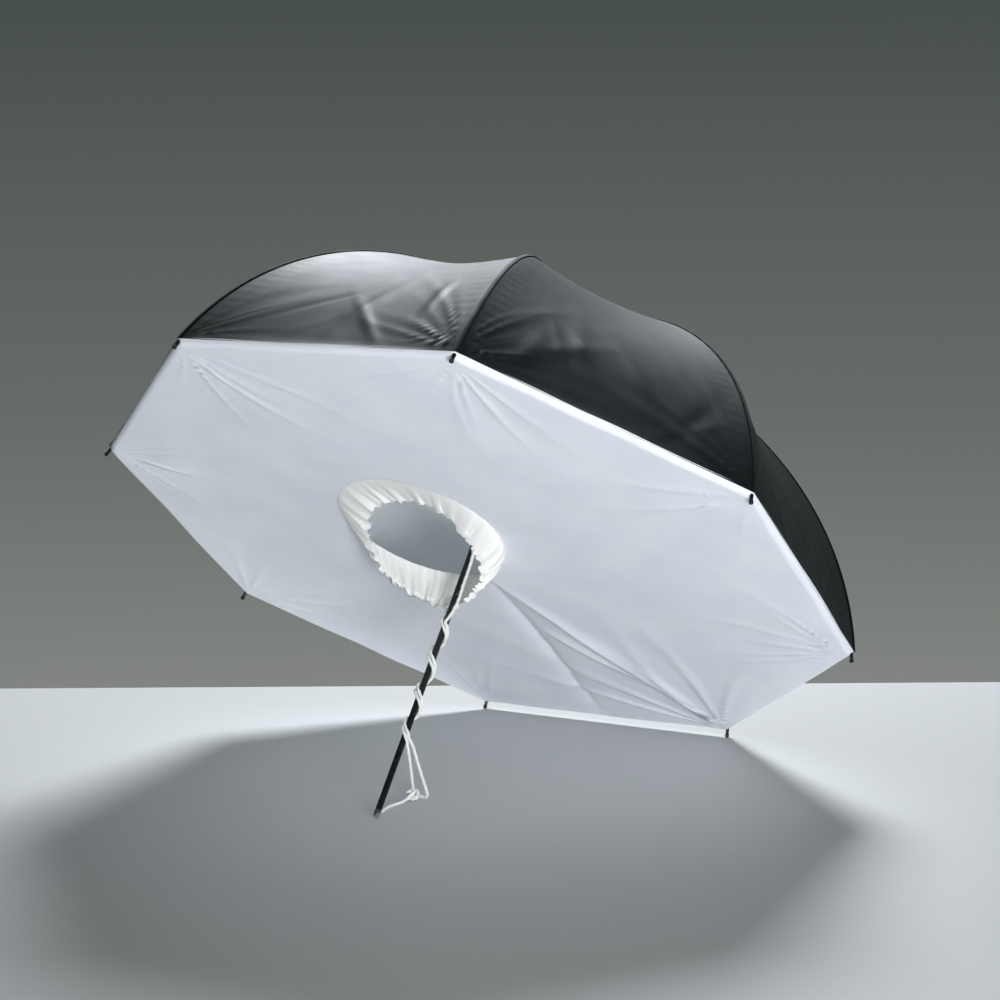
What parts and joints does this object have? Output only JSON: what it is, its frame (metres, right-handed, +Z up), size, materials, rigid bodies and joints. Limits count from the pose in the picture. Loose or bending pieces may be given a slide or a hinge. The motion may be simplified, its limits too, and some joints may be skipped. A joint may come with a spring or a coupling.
{
  "type": "umbrella reflector",
  "caption": "Photographic umbrella reflector with black-backed ribbed canopy, white front diffuser and off-centre drawstring collar, standing on rib tips and shaft.",
  "frame": {"origin": "on the floor, below the middle of the umbrella's box without its drawstring", "axes": "+Z up, +X along the line between the two rib tips that rest on the floor, the shaft leans down towards -Y"},
  "size_m": [0.9362, 0.7768, 0.6846],
  "materials": {
    "shaft_paint": "satin black enamel on steel tube",
    "rib_paint": "black enamel on steel channel",
    "chrome_cap": "bright plated cap",
    "black_plastic": "moulded black nylon plastic",
    "spring_steel": "drawn spring wire",
    "black_nylon": "satin black nylon outside, silver-grey lining inside",
    "white_diffuser": "translucent white nylon",
    "white_collar": "gathered white nylon",
    "white_cord": "soft braided white cord"
  },
  "bodies": {
    "shaft": {"shaft_tube": "shaft_paint", "end_cap": "chrome_cap", "notch": "black_plastic", "notch_wire": "spring_steel", "ferrule": "black_plastic", "crown_patch": "black_nylon", "stop_pin": "spring_steel", "drawstring_1": "white_cord", "drawstring_2": "white_cord", "drawstring_knot": "white_cord"},
    "runner": {"runner": "black_plastic"},
    "catch": {"spring_catch": "spring_steel"},
    "rib_1": {"rib_1": "rib_paint", "rib_tip_1": "black_plastic", "canopy_gore_1": "black_nylon"},
    "stretcher_1": {"stretcher_1": "rib_paint"},
    "panel_1": {"front_panel_1": "white_diffuser", "collar_1": "white_collar"},
    "rib_2": {"rib_2": "rib_paint", "rib_tip_2": "black_plastic", "canopy_gore_2": "black_nylon"},
    "stretcher_2": {"stretcher_2": "rib_paint"},
    "panel_2": {"front_panel_2": "white_diffuser", "collar_2": "white_collar"},
    "rib_3": {"rib_3": "rib_paint", "rib_tip_3": "black_plastic", "canopy_gore_3": "black_nylon"},
    "stretcher_3": {"stretcher_3": "rib_paint"},
    "panel_3": {"front_panel_3": "white_diffuser", "collar_3": "white_collar"},
    "rib_4": {"rib_4": "rib_paint", "rib_tip_4": "black_plastic", "canopy_gore_4": "black_nylon"},
    "stretcher_4": {"stretcher_4": "rib_paint"},
    "panel_4": {"front_panel_4": "white_diffuser", "collar_4": "white_collar"},
    "rib_5": {"rib_5": "rib_paint", "rib_tip_5": "black_plastic", "canopy_gore_5": "black_nylon"},
    "stretcher_5": {"stretcher_5": "rib_paint"},
    "panel_5": {"front_panel_5": "white_diffuser", "collar_5": "white_collar"},
    "rib_6": {"rib_6": "rib_paint", "rib_tip_6": "black_plastic", "canopy_gore_6": "black_nylon"},
    "stretcher_6": {"stretcher_6": "rib_paint"},
    "panel_6": {"front_panel_6": "white_diffuser", "collar_6": "white_collar"},
    "rib_7": {"rib_7": "rib_paint", "rib_tip_7": "black_plastic", "canopy_gore_7": "black_nylon"},
    "stretcher_7": {"stretcher_7": "rib_paint"},
    "panel_7": {"front_panel_7": "white_diffuser", "collar_7": "white_collar"},
    "rib_8": {"rib_8": "rib_paint", "rib_tip_8": "black_plastic", "canopy_gore_8": "black_nylon"},
    "stretcher_8": {"stretcher_8": "rib_paint"},
    "panel_8": {"front_panel_8": "white_diffuser", "collar_8": "white_collar"}
  },
  "joints": [
    {"name": "runner_slide", "type": "slide", "parent": "shaft", "child": "runner", "axis": [0, -0.6243, -0.7812], "range_m": [0, 0.22475]},
    {"name": "catch_press", "type": "slide", "parent": "shaft", "child": "catch", "axis": [0, 0.7812, -0.6243], "range_m": [0, 0.0014], "stiffness_N_per_m": 600, "springref_m": -0.001},
    {"name": "rib_1_fold", "type": "hinge", "parent": "shaft", "child": "rib_1", "pos_m": [-0.00459, 0.18218, 0.56669], "axis": [0.9239, -0.2989, 0.2389], "range_deg": [0, 53], "deforming": ["canopy_gore_1"]},
    {"name": "stretcher_1_fold", "type": "hinge", "parent": "rib_1", "child": "stretcher_1", "pos_m": [-0.07572, 0.03146, 0.65315], "axis": [-0.9239, 0.2989, -0.2389], "range_deg": [0, 87.89]},
    {"name": "panel_1_fold", "type": "hinge", "parent": "rib_1", "child": "panel_1", "pos_m": [-0.18905, -0.37493, 0.58291], "axis": [0.9239, -0.2989, 0.2389], "range_deg": [0, 44], "deforming": ["front_panel_1", "collar_1"]},
    {"name": "rib_2_fold", "type": "hinge", "parent": "shaft", "child": "rib_2", "pos_m": [0.00459, 0.18218, 0.56669], "axis": [0.9239, 0.2989, -0.2389], "range_deg": [0, 53], "deforming": ["canopy_gore_2"]},
    {"name": "stretcher_2_fold", "type": "hinge", "parent": "rib_2", "child": "stretcher_2", "pos_m": [0.07572, 0.03146, 0.65315], "axis": [-0.9239, -0.2989, 0.2389], "range_deg": [0, 87.89]},
    {"name": "panel_2_fold", "type": "hinge", "parent": "rib_2", "child": "panel_2", "pos_m": [0.18905, -0.37493, 0.58291], "axis": [0.9239, 0.2989, -0.2389], "range_deg": [0, 44], "deforming": ["front_panel_2", "collar_2"]},
    {"name": "rib_3_fold", "type": "hinge", "parent": "shaft", "child": "rib_3", "pos_m": [0.01109, 0.18725, 0.56264], "axis": [0.3827, 0.7217, -0.5768], "range_deg": [0, 53], "deforming": ["canopy_gore_3"]},
    {"name": "stretcher_3_fold", "type": "hinge", "parent": "rib_3", "child": "stretcher_3", "pos_m": [0.1828, 0.11511, 0.5863], "axis": [-0.3827, -0.7217, 0.5768], "range_deg": [0, 87.89]},
    {"name": "panel_3_fold", "type": "hinge", "parent": "rib_3", "child": "panel_3", "pos_m": [0.4564, -0.16609, 0.41599], "axis": [0.3827, 0.7217, -0.5768], "range_deg": [0, 44], "deforming": ["front_panel_3", "collar_3"]},
    {"name": "rib_4_fold", "type": "hinge", "parent": "shaft", "child": "rib_4", "pos_m": [0.01109, 0.19442, 0.5569], "axis": [-0.3827, 0.7217, -0.5768], "range_deg": [0, 53], "deforming": ["canopy_gore_4"]},
    {"name": "stretcher_4_fold", "type": "hinge", "parent": "rib_4", "child": "stretcher_4", "pos_m": [0.1828, 0.2334, 0.49175], "axis": [0.3827, -0.7217, 0.5768], "range_deg": [0, 87.89]},
    {"name": "panel_4_fold", "type": "hinge", "parent": "rib_4", "child": "panel_4", "pos_m": [0.4564, 0.12926, 0.17993], "axis": [-0.3827, 0.7217, -0.5768], "range_deg": [0, 44], "deforming": ["front_panel_4", "collar_4"]},
    {"name": "rib_5_fold", "type": "hinge", "parent": "shaft", "child": "rib_5", "pos_m": [0.00459, 0.1995, 0.55285], "axis": [-0.9239, 0.2989, -0.2389], "range_deg": [0, 53], "deforming": ["canopy_gore_5"]},
    {"name": "stretcher_5_fold", "type": "hinge", "parent": "rib_5", "child": "stretcher_5", "pos_m": [0.07572, 0.31705, 0.42489], "axis": [0.9239, -0.2989, 0.2389], "range_deg": [0, 87.89]},
    {"name": "panel_5_fold", "type": "hinge", "parent": "rib_5", "child": "panel_5", "pos_m": [0.18905, 0.3381, 0.01301], "axis": [-0.9239, 0.2989, -0.2389], "range_deg": [0, 44], "deforming": ["front_panel_5", "collar_5"]},
    {"name": "rib_6_fold", "type": "hinge", "parent": "shaft", "child": "rib_6", "pos_m": [-0.00459, 0.1995, 0.55285], "axis": [-0.9239, -0.2989, 0.2389], "range_deg": [0, 53], "deforming": ["canopy_gore_6"]},
    {"name": "stretcher_6_fold", "type": "hinge", "parent": "rib_6", "child": "stretcher_6", "pos_m": [-0.07572, 0.31705, 0.42489], "axis": [0.9239, 0.2989, -0.2389], "range_deg": [0, 87.89]},
    {"name": "panel_6_fold", "type": "hinge", "parent": "rib_6", "child": "panel_6", "pos_m": [-0.18905, 0.3381, 0.01301], "axis": [-0.9239, -0.2989, 0.2389], "range_deg": [0, 44], "deforming": ["front_panel_6", "collar_6"]},
    {"name": "rib_7_fold", "type": "hinge", "parent": "shaft", "child": "rib_7", "pos_m": [-0.01109, 0.19442, 0.5569], "axis": [-0.3827, -0.7217, 0.5768], "range_deg": [0, 53], "deforming": ["canopy_gore_7"]},
    {"name": "stretcher_7_fold", "type": "hinge", "parent": "rib_7", "child": "stretcher_7", "pos_m": [-0.1828, 0.2334, 0.49175], "axis": [0.3827, 0.7217, -0.5768], "range_deg": [0, 87.89]},
    {"name": "panel_7_fold", "type": "hinge", "parent": "rib_7", "child": "panel_7", "pos_m": [-0.4564, 0.12926, 0.17993], "axis": [-0.3827, -0.7217, 0.5768], "range_deg": [0, 44], "deforming": ["front_panel_7", "collar_7"]},
    {"name": "rib_8_fold", "type": "hinge", "parent": "shaft", "child": "rib_8", "pos_m": [-0.01109, 0.18725, 0.56264], "axis": [0.3827, -0.7217, 0.5768], "range_deg": [0, 53], "deforming": ["canopy_gore_8"]},
    {"name": "stretcher_8_fold", "type": "hinge", "parent": "rib_8", "child": "stretcher_8", "pos_m": [-0.1828, 0.11511, 0.5863], "axis": [-0.3827, 0.7217, -0.5768], "range_deg": [0, 87.89]},
    {"name": "panel_8_fold", "type": "hinge", "parent": "rib_8", "child": "panel_8", "pos_m": [-0.4564, -0.16609, 0.41599], "axis": [0.3827, -0.7217, 0.5768], "range_deg": [0, 44], "deforming": ["front_panel_8", "collar_8"]}
  ],
  "couplings": [
    {"joint": "rib_1_fold", "follows": "runner_slide", "rad_per_m": 4.1158},
    {"joint": "stretcher_1_fold", "follows": "runner_slide", "rad_per_m": 6.8252},
    {"joint": "panel_1_fold", "follows": "runner_slide", "rad_per_m": 3.4169},
    {"joint": "rib_2_fold", "follows": "runner_slide", "rad_per_m": 4.1158},
    {"joint": "stretcher_2_fold", "follows": "runner_slide", "rad_per_m": 6.8252},
    {"joint": "panel_2_fold", "follows": "runner_slide", "rad_per_m": 3.4169},
    {"joint": "rib_3_fold", "follows": "runner_slide", "rad_per_m": 4.1158},
    {"joint": "stretcher_3_fold", "follows": "runner_slide", "rad_per_m": 6.8252},
    {"joint": "panel_3_fold", "follows": "runner_slide", "rad_per_m": 3.4169},
    {"joint": "rib_4_fold", "follows": "runner_slide", "rad_per_m": 4.1158},
    {"joint": "stretcher_4_fold", "follows": "runner_slide", "rad_per_m": 6.8252},
    {"joint": "panel_4_fold", "follows": "runner_slide", "rad_per_m": 3.4169},
    {"joint": "rib_5_fold", "follows": "runner_slide", "rad_per_m": 4.1158},
    {"joint": "stretcher_5_fold", "follows": "runner_slide", "rad_per_m": 6.8252},
    {"joint": "panel_5_fold", "follows": "runner_slide", "rad_per_m": 3.4169},
    {"joint": "rib_6_fold", "follows": "runner_slide", "rad_per_m": 4.1158},
    {"joint": "stretcher_6_fold", "follows": "runner_slide", "rad_per_m": 6.8252},
    {"joint": "panel_6_fold", "follows": "runner_slide", "rad_per_m": 3.4169},
    {"joint": "rib_7_fold", "follows": "runner_slide", "rad_per_m": 4.1158},
    {"joint": "stretcher_7_fold", "follows": "runner_slide", "rad_per_m": 6.8252},
    {"joint": "panel_7_fold", "follows": "runner_slide", "rad_per_m": 3.4169},
    {"joint": "rib_8_fold", "follows": "runner_slide", "rad_per_m": 4.1158},
    {"joint": "stretcher_8_fold", "follows": "runner_slide", "rad_per_m": 6.8252},
    {"joint": "panel_8_fold", "follows": "runner_slide", "rad_per_m": 3.4169}
  ]
}
